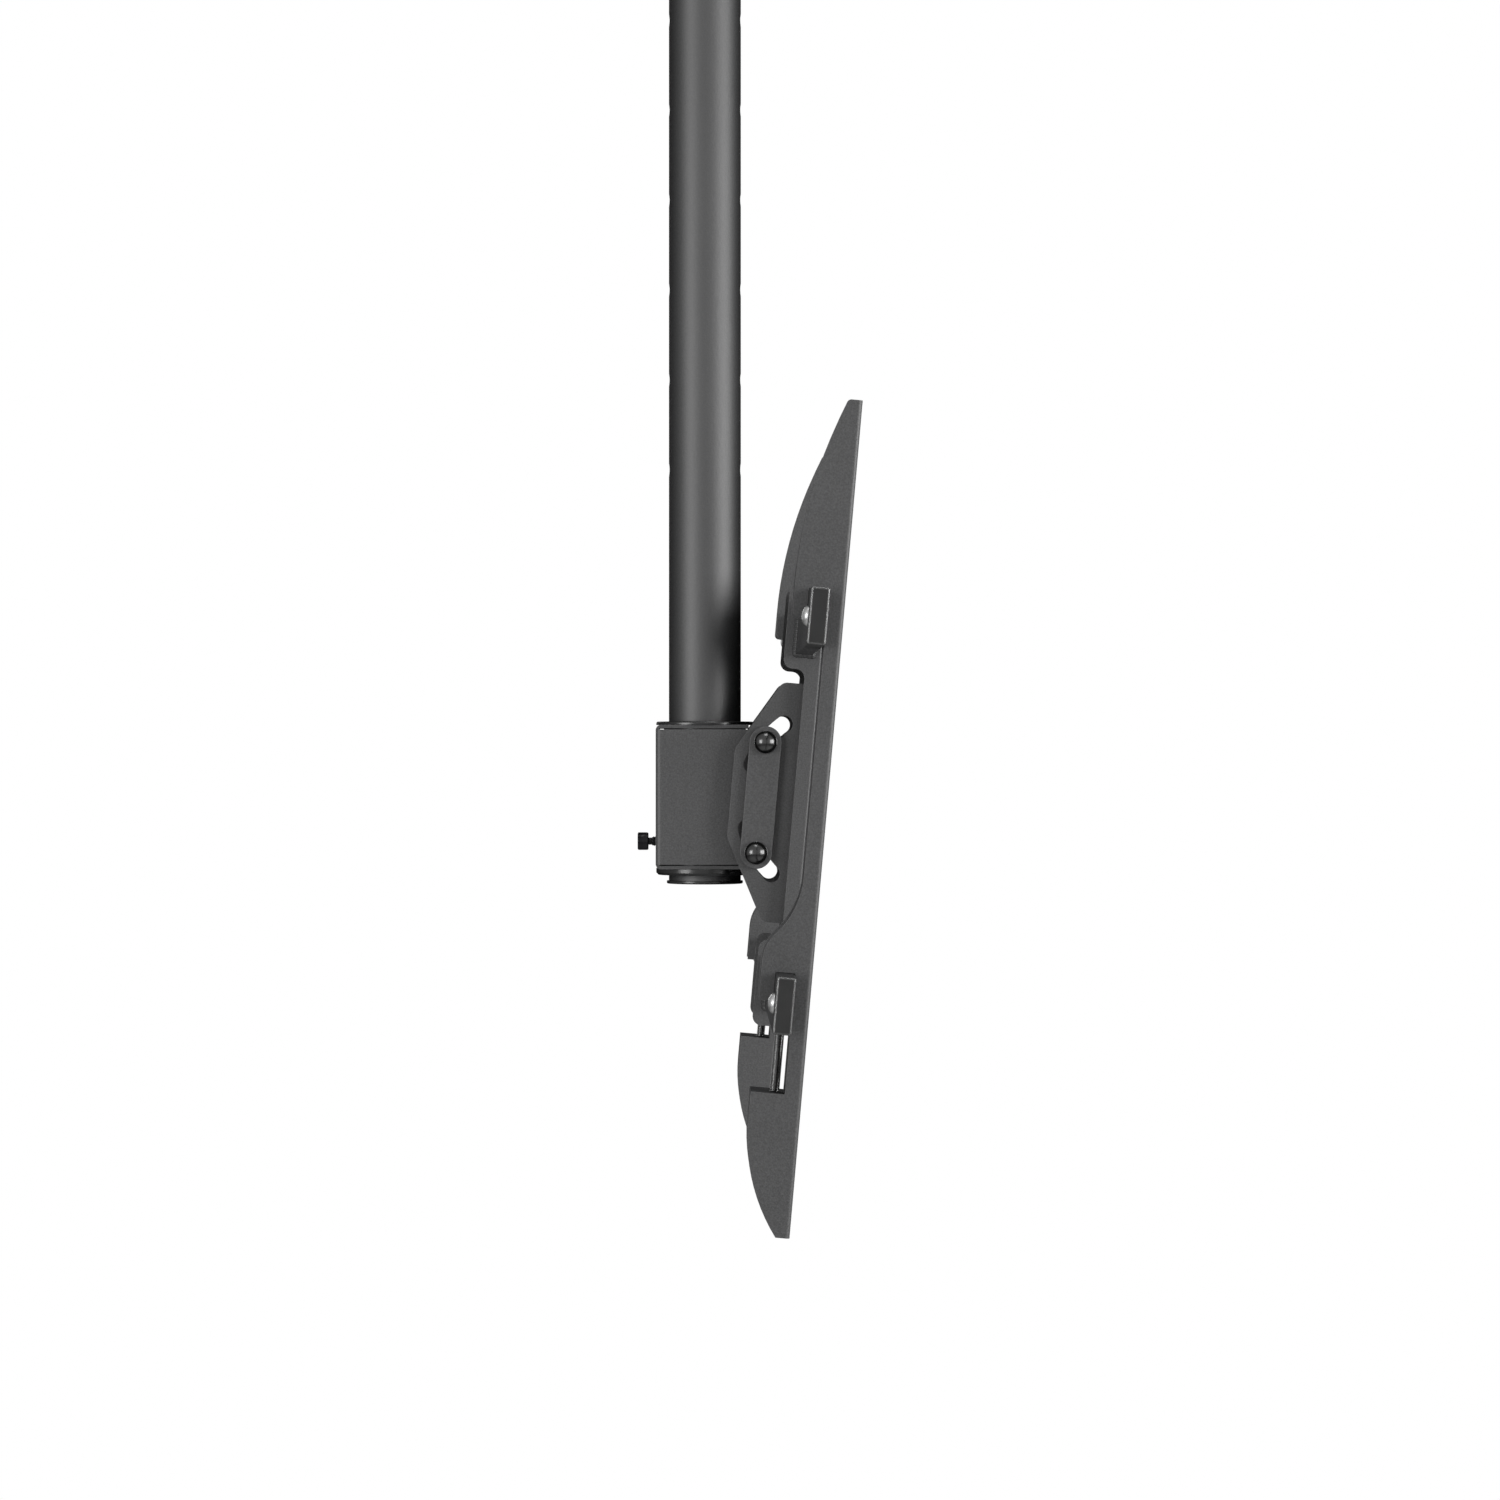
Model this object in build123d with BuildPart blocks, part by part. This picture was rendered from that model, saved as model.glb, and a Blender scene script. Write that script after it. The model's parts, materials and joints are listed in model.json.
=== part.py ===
"""Ceiling mount for a flat screen.

A tube hangs from a ceiling plate. A folded collar swivels on it, a rail frame tilts on the
collar about an axis at the screen's back, and two hooked arms hang on the frame's rails.
Millimetres, +Z up, +X towards the screen, origin at the middle of the ceiling plate's top face.
"""
import os
from math import cos, radians, sin

from build123d import *

# Clearances
seat_gap = 0.15          # between pieces that stand still against each other
slide_gap = 0.3          # between pieces that move past each other
shank_gap = 0.2          # round a bolt in its hole

# Ceiling plate and the socket under it
plate_width = 150.0
plate_thickness = 4.0
plate_corner = 14.0
plate_hole_spacing = 110.0
plate_hole_diameter = 9.0
cable_hole_diameter = 30.0
socket_length = 80.0
socket_wall = 3.0

# Pole
pole_diameter = 40.0
pole_wall = 2.0
pole_length = 818.6
height_hole_diameter = 7.5
height_hole_pitch = 50.0
height_hole_count = 12
first_hole_drop = 44.2   # ceiling face to the highest hole
end_cap_rim = 1.15       # how far the cap stands out past the pole
end_cap_flange = 1.6
end_cap_plug = 14.0

# Cross bolt that holds the pole in the socket
cross_bolt_diameter = 6.0
cross_head_diameter = 10.0
cross_head_height = 6.0
cross_nut_flats = 10.0
cross_nut_height = 5.0

# Swivel collar, folded from one sheet
collar_width = 54.4
collar_height = 79.6
collar_wall = 2.0
collar_bend = 3.0
collar_flap_inset = 2.0  # flap edge to the collar's side face
collar_seam = 0.6        # flap to the side wall's edge
collar_flap_reach = 24.0 # pole axis to the flap's free edge
pole_below_collar = 3.3  # lower bush to the pole's end
bush_wall = 2.8
upper_bush_skirt = 18.0
lower_bush_skirt = 9.0
upper_bush_flange = 1.9
lower_bush_flange = 3.6
carrier_pin_length = 45.0

# Set screw in the collar's back
set_screw_diameter = 5.4
set_head_diameter = 9.8
set_head_height = 6.0
set_head_standoff = 4.2  # collar's back face to the head
set_screw_rise = 15.0    # above the collar's underside
set_socket_flats = 5.0
set_socket_depth = 3.2

# Tilt axis and the two curved slots round it
tilt_rest = 5.0          # degrees that the frame leans at rest, top forward
tilt_travel = 15.0       # degrees each way from there
screen_forward = 60.9    # pole axis to the screen plane, level with the tilt axis
screen_rise = 37.0       # that point above the collar's underside
axis_ahead = 15.0        # tilt axis in front of the screen plane
slot_radius = 54.8
slot_spread = 33.7       # degrees from straight back to the middle of a slot
slot_width = 9.4

# Tilt bolts, spacers and link plates
tilt_bolt_diameter = 8.0
dome_diameter = 12.2
dome_height = 5.6
dome_washer_diameter = 12.8
dome_washer_height = 0.7
spacer_length = 5.0
spacer_diameter = 14.0
ear_radius = 7.2
link_width = 17.6
link_thickness = 3.0

# Tilt bracket: slotted cheeks on a front web
cheek_wall = 2.5
cheek_reach = 47.0       # screen plane to the cheeks' back edge
cheek_back_top = 25.5    # ends of that edge, above and below the tilt axis
cheek_back_bottom = 23.4
cheek_top = 64.0         # above the tilt axis
cheek_bottom = 67.8      # below it
cheek_shelf = 11.4       # length of the cheeks' top and bottom edges
cheek_back_round = 9.0
cheek_end_round = 5.0

# Spine: channel that carries the rails, its flanges folded back and cut lower between them
spine_width = 84.8
spine_wall = 2.5
spine_front = 4.2        # behind the screen plane
spine_waist = 12.6       # flanges' back edge between the rails
spine_back = 24.7        # flanges' back edge round the rails
spine_shoulder = 8.2     # rail to the step of that edge
spine_end_margin = 9.8   # rail to the spine's end
spine_round = 5.0
spine_bend = 1.2         # outside of the fold between web and flange

# Rails
rail_spacing = 194.0
rail_middle = -2.7       # middle of the two rails, from the tilt axis
rail_length = 506.0      # with its caps
rail_height = 28.8
rail_depth = 9.5
rail_front = 9.05        # behind the screen plane
rail_wall = 1.5
rail_round = 1.1
rail_cap_flange = 2.0
rail_cap_plug = 12.0
rail_cap_round = 0.9     # round of the cap's outer edge
stop_inset = 17.5        # rail end to the stop screw's axis
stop_diameter = 6.0
stop_head_diameter = 10.5
stop_head_height = 3.3
stop_shank_length = 5.5

# Arms
hole_pattern = 400.0     # spacing of the screen's threaded holes, both ways
arm_width = 33.2
arm_wall = 2.0
arm_length = 424.0
arm_middle = -6.4        # middle of the arm, from the tilt axis
arm_depth = 26.0
arm_top_depth = 7.2
arm_tip_round = 2.4
arm_bottom_depth = 7.2
arm_bend = 2.2
arm_crown_start = 16.0   # upper rail's middle to the start of the top curve
arm_tail_start = 15.5    # tab to the start of the bottom curve
sweep_start = 49.0       # lower rail's top to the start of the edge's sweep
sweep_end = 5.0          # lower rail's top to the end of that sweep
sweep_share = 0.66       # of the sweep that its first arc takes
hook_round = 2.5
arm_hole_diameter = 8.6
arm_slot_length = 38.0
arm_slot_rows = (-150.0, -100.0, -50.0, 0.0, 50.0, 100.0, 150.0)

# Lock screws under the lower rail
lock_gap = 32.0          # rail to the tab
tab_thickness = 2.5
lock_diameter = 5.0
lock_length = 62.0
lock_head_diameter = 9.4
lock_head_height = 4.0
lock_socket_flats = 4.0
lock_nut_flats = 8.0
lock_nut_height = 4.0

# Heights down the pole
pole_radius = pole_diameter / 2
pole_top = -plate_thickness
pole_bottom = pole_top - pole_length
socket_bore = pole_radius + seat_gap
socket_radius = socket_bore + socket_wall
lower_bush_bottom = pole_bottom + pole_below_collar
collar_bottom = lower_bush_bottom + lower_bush_flange
collar_top = collar_bottom + collar_height
collar_half = collar_width / 2
side_bottom = collar_bottom + collar_wall + collar_seam
side_top = collar_top - collar_wall - collar_seam

# Frame coordinates: screen plane at local x 0, forwards is +x, up the frame is +y
lean = radians(tilt_rest)
screen_height = collar_bottom + screen_rise
frame_forward = Vector(cos(lean), 0, -sin(lean))
frame_up = Vector(sin(lean), 0, cos(lean))
frame_plane = Plane((screen_forward, 0, screen_height), x_dir=frame_forward, z_dir=(0, -1, 0))


def on_frame(forward, up):
    """Point of the middle plane from its place on the frame."""
    return Vector(screen_forward, 0, screen_height) + frame_forward * forward + frame_up * up


def across_pole(height, start=0.0):
    """Plane square to X at a height on the pole, its normal towards the screen."""
    return Plane((start, 0, height), x_dir=(0, 1, 0), z_dir=(1, 0, 0))


def side_plane(across):
    """Frame plane moved towards the viewer's side, or away from it for a negative value."""
    return frame_plane.offset(across)


def runs_up_frame(edge):
    """True for an edge along the frame's height."""
    return abs(edge.tangent_at(0.5).dot(frame_up)) > 0.99


def is_front_edge(edge):
    """True for an edge that lies in the spine's front face."""
    return abs((edge.center() - on_frame(-spine_front, 0)).dot(frame_forward)) < 0.01


def is_fold(edge):
    """True for an edge where the tilt bracket's cheeks fold out of its web."""
    return abs((edge.center() - on_frame(-spine_web_back, 0)).dot(frame_forward)) < 0.01


# Layers outwards from the collar's side
spacer_face = collar_half + spacer_length
cheek_inner = spacer_face + slide_gap
cheek_outer = cheek_inner + cheek_wall
link_inner = cheek_outer + slide_gap
link_outer = link_inner + link_thickness
spine_half = spine_width / 2
spine_web_back = spine_front + spine_wall

# Tilt bolts sit in the middle of their slots at rest
bolt_back = slot_radius * cos(radians(slot_spread)) - axis_ahead
bolt_up = slot_radius * sin(radians(slot_spread))
tilt_points = [on_frame(-bolt_back, side * bolt_up) for side in (1, -1)]
tilt_spots = [(point.X, point.Z) for point in tilt_points]

# Rails and hooks on the frame
rail_back = rail_front + rail_depth
upper_rail = rail_middle + rail_spacing / 2
lower_rail = rail_middle - rail_spacing / 2
rail_half = rail_height / 2
tube_length = rail_length - 2 * rail_cap_flange
hook_front = rail_front - slide_gap
hook_back = rail_back + slide_gap
arm_top = arm_middle + arm_length / 2
arm_bottom = arm_middle - arm_length / 2
arm_offset = hole_pattern / 2
tab_top = lower_rail - rail_half - lock_gap
lock_tip = lower_rail - rail_half - slide_gap
lock_line = rail_front + rail_depth / 2

os.makedirs("parts", exist_ok=True)


def save(piece, name):
    """Label a finished piece and write its file."""
    piece.part.label = name
    export_step(piece.part, f"parts/{name}.step")


# Ceiling plate with four fixing holes and a cable hole
with BuildPart() as ceiling_plate:
    with BuildSketch(Plane.XY.offset(-plate_thickness)):
        RectangleRounded(plate_width, plate_width, plate_corner)
        with GridLocations(plate_hole_spacing, plate_hole_spacing, 2, 2):
            Circle(plate_hole_diameter / 2, mode=Mode.SUBTRACT)
        Circle(cable_hole_diameter / 2, mode=Mode.SUBTRACT)
    extrude(amount=plate_thickness)
    chamfer(ceiling_plate.faces().sort_by(Axis.Z)[0].outer_wire().edges(), plate_thickness / 5)
save(ceiling_plate, "ceiling_plate")

# Socket tube welded under the plate
with BuildPart() as socket_tube:
    with BuildSketch(Plane.XY.offset(pole_top)):
        Circle(socket_radius)
        Circle(socket_bore, mode=Mode.SUBTRACT)
    extrude(amount=-socket_length)
    with Locations(across_pole(-first_hole_drop)):
        Cylinder(cross_bolt_diameter / 2 + shank_gap, 4 * socket_radius, mode=Mode.SUBTRACT)
save(socket_tube, "socket_tube")

# Pole with its row of height holes
carrier_pin_height = collar_top - upper_bush_skirt - cross_bolt_diameter / 2
with BuildPart() as pole:
    with BuildSketch(Plane.XY.offset(pole_top)):
        Circle(pole_radius)
        Circle(pole_radius - pole_wall, mode=Mode.SUBTRACT)
    extrude(amount=-pole_length)
    for step in range(height_hole_count):
        drop = first_hole_drop + step * height_hole_pitch
        with Locations(across_pole(-drop)):
            Cylinder(height_hole_diameter / 2, 2 * pole_diameter, mode=Mode.SUBTRACT)
    with Locations(across_pole(carrier_pin_height)):
        Cylinder(cross_bolt_diameter / 2 + shank_gap, 2 * pole_diameter, mode=Mode.SUBTRACT)
save(pole, "pole")

# Plug in the pole's lower end, with a thin rim
with BuildPart() as pole_end_cap:
    with BuildSketch(Plane.XY.offset(pole_bottom - end_cap_flange)):
        Circle(pole_radius + end_cap_rim)
    extrude(amount=end_cap_flange)
    fillet(pole_end_cap.edges().group_by(Axis.Z)[0], end_cap_flange * 0.4)
    with BuildSketch(Plane.XY.offset(pole_bottom)):
        Circle(pole_radius - pole_wall - seat_gap)
    extrude(amount=end_cap_plug)
    with BuildSketch(Plane.XY.offset(pole_bottom + end_cap_plug)):
        Circle(pole_radius - 2 * pole_wall - seat_gap)
    extrude(amount=-end_cap_plug, mode=Mode.SUBTRACT)
save(pole_end_cap, "pole_end_cap")

# Cross bolt through the socket and the pole, with its nut
bolt_plane = across_pole(-first_hole_drop)
with BuildPart() as socket_bolt:
    with BuildSketch(bolt_plane.offset(-socket_radius - cross_head_height)):
        Circle(cross_head_diameter / 2)
    extrude(amount=cross_head_height)
    with BuildSketch(bolt_plane.offset(-socket_radius)):
        Circle(cross_bolt_diameter / 2)
    extrude(amount=2 * socket_radius + cross_nut_height + cross_bolt_diameter / 3)
    with BuildSketch(bolt_plane.offset(-socket_radius - cross_head_height)):
        RegularPolygon(set_socket_flats / 2, 6, major_radius=False)
    extrude(amount=cross_head_height / 2, mode=Mode.SUBTRACT)
    tip_edge = socket_bolt.edges().filter_by(GeomType.CIRCLE).sort_by(Axis.X)[-1]
    chamfer(tip_edge, cross_bolt_diameter / 10)
save(socket_bolt, "socket_bolt")

with BuildPart() as socket_nut:
    with BuildSketch(bolt_plane.offset(socket_radius)):
        RegularPolygon(cross_nut_flats / 2, 6, major_radius=False)
        Circle(cross_bolt_diameter / 2 + shank_gap, mode=Mode.SUBTRACT)
    extrude(amount=cross_nut_height)
save(socket_nut, "socket_nut")

# Pin through the pole that the upper bush sits on
with BuildPart() as carrier_pin:
    with BuildSketch(across_pole(carrier_pin_height)):
        Circle(cross_bolt_diameter / 2)
    extrude(amount=carrier_pin_length / 2, both=True)
    chamfer(carrier_pin.edges().filter_by(GeomType.CIRCLE), cross_bolt_diameter / 12)
save(carrier_pin, "carrier_pin")

# Collar: back and sides folded round, ears for the tilt bolts, flaps folded over both ends
ear_centre = tilt_points[0] * 0.5 + tilt_points[1] * 0.5
collar_middle = (collar_top + collar_bottom) / 2
flap_middle = (collar_flap_reach - collar_half) / 2
with BuildPart() as collar:
    with BuildSketch(Plane.XY.offset(side_bottom)):
        with Locations(((ear_centre.X - collar_half) / 2, 0)):
            Rectangle(ear_centre.X + collar_half, collar_width)
        with Locations(((ear_centre.X - collar_half) / 2 + collar_wall, 0)):
            Rectangle(ear_centre.X + collar_half, collar_width - 2 * collar_wall, mode=Mode.SUBTRACT)
    extrude(amount=side_top - side_bottom)
    fillet(collar.edges().filter_by(Axis.Z).group_by(Axis.X)[0], collar_bend)
    with BuildSketch(Plane.XZ):
        with Locations((ear_centre.X + ear_radius, collar_middle)):
            Rectangle(2 * ear_radius, 2 * collar_height)
    extrude(amount=collar_width, both=True, mode=Mode.SUBTRACT)
    for side in (1, -1):
        with BuildSketch(Plane.XZ.offset(side * (collar_half - collar_wall / 2))):
            with Locations(*tilt_spots):
                Circle(ear_radius)
            make_hull()
        extrude(amount=collar_wall / 2, both=True)
    with BuildSketch(Plane.XZ):
        with Locations((flap_middle, collar_middle)):
            Rectangle(collar_flap_reach + collar_half, collar_height)
        fillet(vertices().group_by(Axis.X)[0], collar_bend)
        with Locations((flap_middle + collar_wall, collar_middle)):
            Rectangle(collar_flap_reach + collar_half, collar_height - 2 * collar_wall, mode=Mode.SUBTRACT)
    extrude(amount=collar_half - collar_flap_inset, both=True)
    with Locations((0, 0, collar_middle)):
        Cylinder(pole_radius + bush_wall + seat_gap, 2 * collar_height, mode=Mode.SUBTRACT)
    with BuildSketch(Plane.XZ):
        with Locations(*tilt_spots):
            Circle(tilt_bolt_diameter / 2 + shank_gap)
    extrude(amount=collar_width, both=True, mode=Mode.SUBTRACT)
    with Locations(across_pole(collar_bottom + set_screw_rise, -collar_half)):
        Cylinder(set_screw_diameter / 2 + shank_gap, 4 * collar_wall, mode=Mode.SUBTRACT)
save(collar, "collar")


def flanged_bush(face, flange, skirt, direction):
    """Plastic ring in a flap's hole: flange outside, skirt inside, which points up for direction 1."""
    bush_bore = pole_radius + slide_gap
    with BuildPart() as bush:
        with BuildSketch(Plane.XY.offset(face)):
            Circle(collar_half - seat_gap)
            Circle(bush_bore, mode=Mode.SUBTRACT)
        extrude(amount=-direction * flange)
        outer = bush.edges().filter_by(GeomType.CIRCLE).sort_by(SortBy.RADIUS)[-2:]
        chamfer(outer.sort_by(Axis.Z)[0 if direction > 0 else -1], flange * 0.35)
        with BuildSketch(Plane.XY.offset(face)):
            Circle(pole_radius + bush_wall)
            Circle(bush_bore, mode=Mode.SUBTRACT)
        extrude(amount=direction * skirt)
    return bush


save(flanged_bush(collar_top, upper_bush_flange, upper_bush_skirt, -1), "upper_bush")
save(flanged_bush(collar_bottom, lower_bush_flange, lower_bush_skirt, 1), "lower_bush")

# Set screw that pinches the pole, with a socket head
set_plane = across_pole(collar_bottom + set_screw_rise, -collar_half - set_head_standoff)
with BuildPart() as set_screw:
    with BuildSketch(set_plane):
        Circle(set_head_diameter / 2)
    extrude(amount=-set_head_height)
    chamfer(set_screw.edges().group_by(Axis.X)[0], set_head_height / 12)
    with BuildSketch(set_plane):
        Circle(set_screw_diameter / 2)
    extrude(amount=set_head_standoff + collar_half - pole_radius - slide_gap)
    with BuildSketch(set_plane.offset(-set_head_height)):
        RegularPolygon(set_socket_flats / 2, 6, major_radius=False)
    extrude(amount=set_socket_depth, mode=Mode.SUBTRACT)
save(set_screw, "set_screw")


def dome_profile(base, reach):
    """Half section of a domed head on a thin washer, revolved about the line that starts at base."""
    with BuildSketch(Plane((base.X, reach, base.Z), x_dir=(1, 0, 0), z_dir=(0, 0, 1))) as profile:
        with BuildLine():
            rim = dome_washer_height
            start = Line((0, 0), (dome_washer_diameter / 2, 0))
            edge = Line(start @ 1, (dome_washer_diameter / 2, -rim))
            ledge = Line(edge @ 1, (dome_diameter / 2, -rim))
            crown = EllipticalCenterArc((0, -rim), dome_diameter / 2, dome_height, 270, arc_size=90)
            Line(crown @ 0, (0, 0))
        make_face()
    return profile


# Two tilt bolts right through the collar, domed at the viewer's end, with domed nuts at the other
with BuildPart() as tilt_bolts:
    for point in tilt_points:
        dome = dome_profile(point, -link_outer)
        revolve(dome.sketch, axis=Axis((point.X, 0, point.Z), (0, 1, 0)))
        with BuildSketch(Plane.XZ.offset(link_outer)):
            with Locations((point.X, point.Z)):
                Circle(tilt_bolt_diameter / 2)
        extrude(amount=-2 * link_outer - dome_height / 2)
save(tilt_bolts, "tilt_bolts")

with BuildPart() as tilt_nuts:
    for point in tilt_points:
        dome = dome_profile(point, -link_outer)
        revolve(dome.sketch, axis=Axis((point.X, 0, point.Z), (0, 1, 0)))
    mirror(about=Plane.XZ, mode=Mode.REPLACE)
    with BuildSketch(Plane.XZ):
        with Locations(*tilt_spots):
            Circle(tilt_bolt_diameter / 2 + shank_gap)
    extrude(amount=-link_outer - dome_height / 2 - shank_gap, mode=Mode.SUBTRACT)
save(tilt_nuts, "tilt_nuts")

# Spacers that hold the cheeks off the collar's ears
with BuildPart() as tilt_spacers:
    for side in (1, -1):
        with BuildSketch(Plane.XZ.offset(side * collar_half)):
            with Locations(*tilt_spots):
                Circle(spacer_diameter / 2)
                Circle(tilt_bolt_diameter / 2 + shank_gap, mode=Mode.SUBTRACT)
        extrude(amount=side * spacer_length)
save(tilt_spacers, "tilt_spacers")


def link_plate(side):
    """Flat bar with round ends that ties the two bolts together outside a cheek."""
    with BuildPart() as link:
        with BuildSketch(Plane.XZ.offset(side * link_inner)):
            with Locations(*tilt_spots):
                Circle(link_width / 2)
            make_hull()
            with Locations(*tilt_spots):
                Circle(tilt_bolt_diameter / 2 + shank_gap, mode=Mode.SUBTRACT)
        extrude(amount=side * link_thickness)
        outer_face = link.faces().sort_by(Axis.Y)[0 if side > 0 else -1]
        fillet(outer_face.outer_wire().edges(), link_thickness / 6)
    return link


for side, name in ((1, "near"), (-1, "far")):
    save(link_plate(side), f"tilt_link_{name}")

# Tilt bracket: two slotted cheeks folded back from a web that lies in the spine
slot_lines = [
    CenterArc((axis_ahead, 0), slot_radius, 180 + side * slot_spread - tilt_travel, 2 * tilt_travel)
    for side in (-1, 1)
]
with BuildPart() as tilt_bracket:
    with BuildSketch(side_plane(-cheek_outer)):
        shelf_end = -spine_waist - cheek_shelf
        with BuildLine():
            Polyline(
                (-spine_web_back, cheek_top),
                (shelf_end, cheek_top),
                (-cheek_reach, cheek_back_top),
                (-cheek_reach, -cheek_back_bottom),
                (shelf_end, -cheek_bottom),
                (-spine_web_back, -cheek_bottom),
                close=True,
            )
        make_face()
        fillet(vertices().group_by(Axis.X)[0], cheek_back_round)
        fillet(vertices().filter_by_position(Axis.X, shelf_end - 0.01, shelf_end + 0.01), cheek_end_round)
        for slot_line in slot_lines:
            SlotArc(slot_line, slot_width, mode=Mode.SUBTRACT)
    extrude(amount=2 * cheek_outer)
    with BuildSketch(side_plane(-cheek_inner)):
        with Locations((-spine_web_back - cheek_wall - cheek_reach, 0)):
            Rectangle(2 * cheek_reach, 4 * cheek_reach)
    extrude(amount=2 * cheek_inner, mode=Mode.SUBTRACT)
    folds = tilt_bracket.edges().filter_by(runs_up_frame).filter_by(is_fold)
    fillet(folds, cheek_wall)
save(tilt_bracket, "tilt_bracket")

# Spine: web at the front, and side flanges with windows that the rails run through
spine_top = upper_rail + rail_half + spine_end_margin
spine_bottom = lower_rail - rail_half - spine_end_margin
upper_step = upper_rail - rail_half - spine_shoulder
lower_step = lower_rail + rail_half + spine_shoulder
with BuildPart() as spine:
    with BuildSketch(side_plane(-spine_half)):
        with BuildLine():
            Polyline(
                (-spine_front, spine_top),
                (-spine_back, spine_top),
                (-spine_back, upper_step),
                (-spine_waist, upper_step),
                (-spine_waist, lower_step),
                (-spine_back, lower_step),
                (-spine_back, spine_bottom),
                (-spine_front, spine_bottom),
                close=True,
            )
        make_face()
        fillet(vertices().filter_by_position(Axis.X, -spine_back, -spine_waist), spine_round)
    extrude(amount=spine_width)
    fillet(spine.edges().filter_by(runs_up_frame).filter_by(is_front_edge), spine_bend)
    with BuildSketch(side_plane(-spine_half + spine_wall)):
        with Locations((-spine_web_back - spine_back, 0)):
            Rectangle(2 * spine_back, 2 * rail_spacing)
    extrude(amount=spine_width - 2 * spine_wall, mode=Mode.SUBTRACT)
    with BuildSketch(frame_plane):
        with Locations(*[(-rail_front - rail_depth / 2, height) for height in (upper_rail, lower_rail)]):
            RectangleRounded(rail_depth + 2 * seat_gap, rail_height + 2 * seat_gap, rail_round)
    extrude(amount=spine_width, both=True, mode=Mode.SUBTRACT)
save(spine, "spine")


def stop_points():
    """Where the four stop screws stand: each rail's back face, near both ends."""
    spots = []
    for height in (upper_rail, lower_rail):
        for side in (1, -1):
            across = side * (rail_length / 2 - stop_inset)
            spots.append(on_frame(-rail_back, height) + Vector(0, across, 0))
    return spots


def rail(height):
    """Flat tube along Y with a hole for the stop screw near each end."""
    with BuildPart() as tube:
        with BuildSketch(frame_plane):
            with Locations((-rail_front - rail_depth / 2, height)):
                RectangleRounded(rail_depth, rail_height, rail_round)
                Rectangle(rail_depth - 2 * rail_wall, rail_height - 2 * rail_wall, mode=Mode.SUBTRACT)
        extrude(amount=tube_length / 2, both=True)
        for spot in stop_points():
            with BuildSketch(Plane(spot, z_dir=frame_forward)):
                Circle(stop_diameter / 2 + shank_gap)
            extrude(amount=rail_depth / 2, mode=Mode.SUBTRACT)
    return tube


def rail_cap(height, side):
    """Plug with a flat end plate of the rail's own outline."""
    with BuildPart() as cap:
        with BuildSketch(side_plane(side * tube_length / 2)):
            with Locations((-rail_front - rail_depth / 2, height)):
                RectangleRounded(rail_depth, rail_height, rail_round)
        extrude(amount=side * rail_cap_flange)
        end_face = cap.faces().sort_by(Axis.Y)[0 if side > 0 else -1]
        fillet(end_face.edges(), rail_cap_round)
        with BuildSketch(side_plane(side * tube_length / 2)):
            with Locations((-rail_front - rail_depth / 2, height)):
                inset = 2 * (rail_wall + seat_gap)
                Rectangle(rail_depth - inset, rail_height - inset)
        extrude(amount=-side * rail_cap_plug)
    return cap


for height, level in ((upper_rail, "upper"), (lower_rail, "lower")):
    save(rail(height), f"{level}_rail")
    for side, name in ((1, "near"), (-1, "far")):
        save(rail_cap(height, side), f"{level}_rail_cap_{name}")

# Button-headed stop screws in the rails' backs
with BuildPart() as rail_stop_screws:
    for spot in stop_points():
        with BuildSketch(Plane(spot, x_dir=frame_up, z_dir=(0, 1, 0))):
            with BuildLine():
                Line((0, 0), (stop_head_diameter / 2, 0))
                radius = stop_head_diameter / 2
                crown = EllipticalCenterArc((0, 0), radius, stop_head_height, 270, arc_size=90)
                Line(crown @ 0, (0, 0))
            make_face()
        revolve(axis=Axis(spot, frame_forward))
        with BuildSketch(Plane(spot, z_dir=frame_forward)):
            Circle(stop_diameter / 2)
        extrude(amount=stop_shank_length)
save(rail_stop_screws, "rail_stop_screws")


def arm_outline():
    """Side outline of an arm: bowed back edge, two downward hooks and the step over the tab."""
    sweep_from = lower_rail + rail_half + sweep_start
    sweep_to = lower_rail + rail_half + sweep_end
    sweep_top = Vector(-hook_front, sweep_from)
    sweep_foot = Vector(-arm_depth, sweep_to)
    sweep_turn = sweep_top + (sweep_foot - sweep_top) * sweep_share
    upper_roof = upper_rail + rail_half + slide_gap
    lower_roof = lower_rail + rail_half + slide_gap
    with BuildLine() as outline:
        crown = TangentArc(
            (-arm_depth, upper_rail + arm_crown_start), (-arm_top_depth, arm_top), tangent=(0, 1)
        )
        Polyline(crown @ 1, (0, arm_top), (0, arm_bottom), (-arm_bottom_depth, arm_bottom))
        tail = TangentArc(
            (-arm_depth, tab_top - arm_tail_start), (-arm_bottom_depth, arm_bottom), tangent=(0, -1)
        )
        Polyline(
            tail @ 0,
            (-arm_depth, tab_top),
            (-hook_front, tab_top),
            (-hook_front, lower_roof),
            (-hook_back, lower_roof),
            (-hook_back, lower_rail),
            (-arm_depth, lower_rail),
            sweep_foot,
        )
        TangentArc(sweep_foot, sweep_turn, tangent=(0, 1))
        TangentArc(sweep_top, sweep_turn, tangent=(0, -1))
        Polyline(
            sweep_top,
            (-hook_front, upper_roof),
            (-hook_back, upper_roof),
            (-hook_back, upper_rail),
            (-arm_depth, upper_rail),
            crown @ 0,
        )
    return outline


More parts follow.
